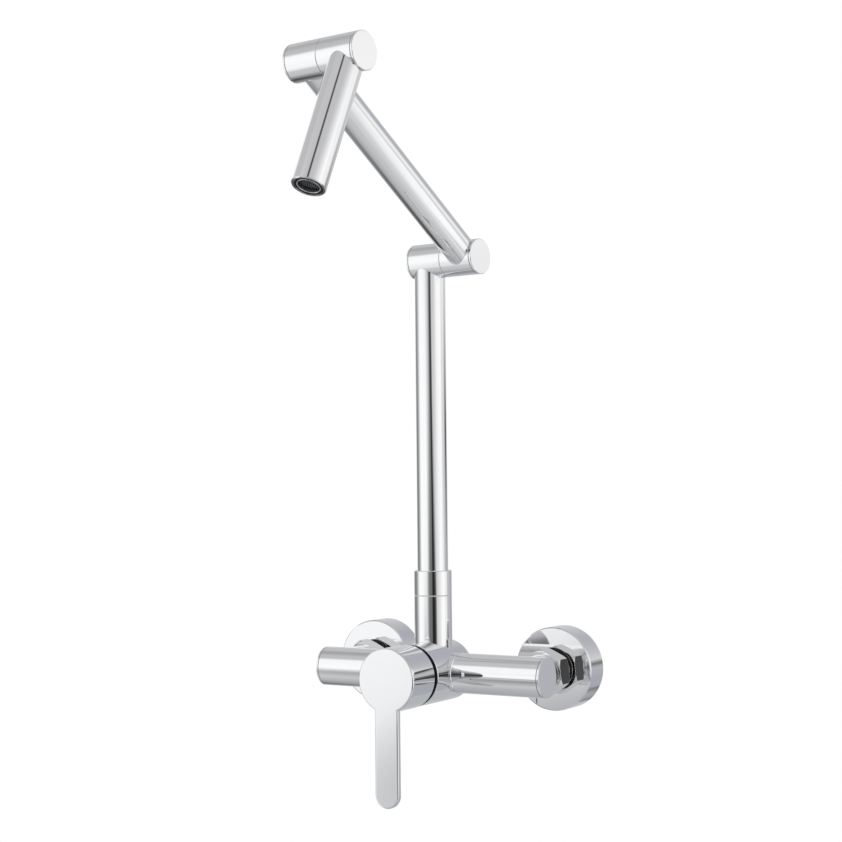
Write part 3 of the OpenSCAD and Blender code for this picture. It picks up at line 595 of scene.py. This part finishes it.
TENT = [(-90, (0.582, 0.584, 0.586)), (-45, (0.381, 0.400, 0.429)),
        (0, (0.687, 0.689, 0.703)), (30, (0.545, 0.547, 0.569)),
        (60, (0.582, 0.582, 0.590)), (90, (0.385, 0.393, 0.489))]
STUDIO = [
    ("left box", -133.8, 14.4, 1.7, 45.2, 14.9, -0.43, (1.018, 1.020, 1.024)),
    ("right box", 84.4, 33.9, 10.6, 18.5, 31.6, 0.39, (1.036, 1.034, 1.032)),
    ("right box foot", 67.9, 10.4, -30.6, 30.9, 24.6, -0.53, (1.090, 1.091, 1.092)),
    ("back", -56.7, 20.1, 11, 15.3, 7.7, -0.17, (1.098, 1.098, 1.102)),
    ("dark left", -81.6, 22.3, -18.5, 32, 32, 0.16, (0.236, 0.235, 0.232)),
    ("dark left foot", -51.4, 9.7, -31.6, 14.9, 14.9, 0.51, (0.009, 0.006, 0.000)),
    ("dark right low", 149.4, 28.2, -12.4, 11.7, 9.6, 0.86, (0.083, 0.082, 0.082)),
    ("dark back", 10.8, 14.6, -10.5, 14.4, 7.3, 0.61, (0.004, 0.001, 0.000)),
    ("back right low", 36.9, 26.2, -23.6, 23.1, 6.3, -0.54, (0.406, 0.421, 0.460)),
    ("camera", 153.7, 6.5, 5.4, 16.9, 11.5, 1.07, (0.020, 0.019, 0.019)),
    ("camera side", 161.3, 7.7, -0.7, 32.9, 20.7, -0.19, (0.187, 0.188, 0.187)),
    ("camera top", 157.1, 6.5, 52.4, 9, 10.1, 1.1, (0.060, 0.056, 0.059)),
    ("low front left", -119.7, 41.5, -47.2, 8.8, 22, 0.66, (0.607, 0.614, 0.616)),
    ("left box core", -145.7, 30.9, 1.5, 12.9, 28.9, 0.53, (1.059, 1.061, 1.068)),
    ("right box core", 81.1, 11.7, -0.1, 20.8, 5.4, -0.82, (1.052, 1.050, 1.058)),
    ("top left shade", -77.8, 23.2, 62.5, 11.9, 31.7, 0.88, (0.349, 0.354, 0.359)),
    ("back right", 46.6, 16.7, 0.6, 5.9, 22.2, 0.83, (0.623, 0.617, 0.634)),
    ("floor right", 93.7, 19.6, -52.8, 24.9, 32, 0.42, (0.674, 0.678, 0.690)),
    ("back right high", 35.4, 32.3, 44.8, 24.7, 31.2, 0.53, (0.421, 0.431, 0.478)),
    ("low right shade", 35.6, 32.5, -56.7, 13.9, 10.4, -0.29, (0.269, 0.285, 0.298)),
    ("cap light", 43.6, 13.4, 12, 7.3, 12.9, 0.28, (0.973, 0.973, 0.971)),
    ("box lower edge", -155, 6.6, -18, 8.5, 21, -0.68, (0.228, 0.226, 0.217)),
    ("box side edge", -160.9, 11.2, -8.4, 2, 7.4, -1.68, (0.350, 0.357, 0.378)),
    ("camera upper", 149.6, 5.4, 14, 8.5, 5.4, -0.73, (0.106, 0.108, 0.108)),
    ("camera core", 151.2, 3.5, -1.4, 9.3, 11, 0.77, (0.010, 0.010, 0.009)),
]


def make_world():
    """The studio for reflections and light, and plain white for camera and transmission rays."""
    world = bpy.data.worlds.new("studio")
    bpy.context.scene.world = world
    world.use_nodes = True
    n = Nodes(world.node_tree)
    direction = n.add("ShaderNodeTexCoord").outputs["Generated"]
    split = n.add("ShaderNodeSeparateXYZ")
    n.link(direction, split.inputs[0])
    elevation = n.math("MULTIPLY", n.math("ARCSINE", split.outputs["Z"]), math.degrees(1))
    azimuth = n.math("MULTIPLY", n.math("ARCTAN2", split.outputs["X"], split.outputs["Y"]),
                     math.degrees(1))
    color = n.add("ShaderNodeValToRGB")
    stops = color.color_ramp.elements
    stops.remove(stops[1])
    for index, (height, shade) in enumerate(TENT):
        position = (height + 90) / 180
        stop = stops[0] if index == 0 else stops.new(position)
        stop.position = position
        stop.color = (*shade, 1)
    n.link(n.ramp(elevation, -90, 90, 0, 1), color.inputs["Fac"])
    result = color.outputs["Color"]
    for name, az, half_w, el, half_h, soft, lean, patch_color in STUDIO:
        rise = n.math("SUBTRACT", elevation, el)
        middle = n.math("MULTIPLY_ADD", rise, lean, az)
        off = n.math("SUBTRACT", azimuth, middle)
        across = n.math("ABSOLUTE", n.math("WRAP", off, 180, -180))
        inside = n.ramp(across, half_w - soft / 2, half_w + soft / 2, 1, 0, True)
        level = n.ramp(n.math("ABSOLUTE", rise), half_h - soft / 2, half_h + soft / 2, 1, 0, True)
        mix = n.add("ShaderNodeMix", data_type="RGBA", label=name)
        n.link(n.math("MULTIPLY", inside, level), mix.inputs["Factor"])
        n.link(result, mix.inputs["A"])
        mix.inputs["B"].default_value = (*patch_color, 1)
        result = mix.outputs["Result"]
    studio = n.add("ShaderNodeBackground")
    n.link(result, studio.inputs["Color"])
    white = n.add("ShaderNodeBackground")
    white.inputs["Color"].default_value = (1, 1, 1, 1)
    path = n.add("ShaderNodeLightPath")
    shown = n.math("MAXIMUM", path.outputs["Is Camera Ray"], path.outputs["Is Transmission Ray"])
    choose = n.add("ShaderNodeMixShader")
    n.link(shown, choose.inputs[0])
    n.link(studio.outputs[0], choose.inputs[1])
    n.link(white.outputs[0], choose.inputs[2])
    out = n.add("ShaderNodeOutputWorld")
    n.link(choose.outputs[0], out.inputs["Surface"])


def make_floor():
    """A pale floor far below the tap, left out of the metal's reflections."""
    mesh = bpy.data.meshes.new("floor")
    corners = ((-1, -1), (1, -1), (1, 1), (-1, 1))
    mesh.from_pydata([(x * FLOOR_HALF, y * FLOOR_HALF, FLOOR_Z) for x, y in corners], [],
                     [(0, 1, 2, 3)])
    floor = bpy.data.objects.new("floor", mesh)
    bpy.context.scene.collection.objects.link(floor)
    material = bpy.data.materials.new("pale floor")
    material.use_nodes = True
    n = Nodes(material.node_tree)
    diffuse = n.add("ShaderNodeBsdfDiffuse")
    diffuse.inputs["Color"].default_value = FLOOR_COLOR
    glow = n.add("ShaderNodeEmission")
    path = n.add("ShaderNodeLightPath")
    n.link(n.math("MULTIPLY", path.outputs["Is Camera Ray"], FLOOR_GLOW), glow.inputs["Strength"])
    both = n.add("ShaderNodeAddShader")
    n.link(diffuse.outputs[0], both.inputs[0])
    n.link(glow.outputs[0], both.inputs[1])
    out = n.add("ShaderNodeOutputMaterial")
    n.link(both.outputs[0], out.inputs["Surface"])
    mesh.materials.append(material)
    floor.visible_glossy = False


def make_lamp():
    """One large soft light from above, kept out of the metal's reflections."""
    data = bpy.data.lights.new("overhead", "SUN")
    data.angle = math.radians(LAMP_WIDTH)
    data.energy = LAMP_STRENGTH
    lamp = bpy.data.objects.new("overhead", data)
    lamp.matrix_world = Matrix.Translation(LAMP_AT) @ rotation_about("X", LAMP_TILT)
    lamp.visible_glossy = False
    bpy.context.scene.collection.objects.link(lamp)


make_camera()
dress_frame()
make_unions()
make_seam_beads()
make_gap_shade_ring()
make_handle()
make_hub()
make_screen()
make_lip()
make_world()
make_floor()
make_lamp()
bpy.context.scene.view_settings.view_transform = "Standard"
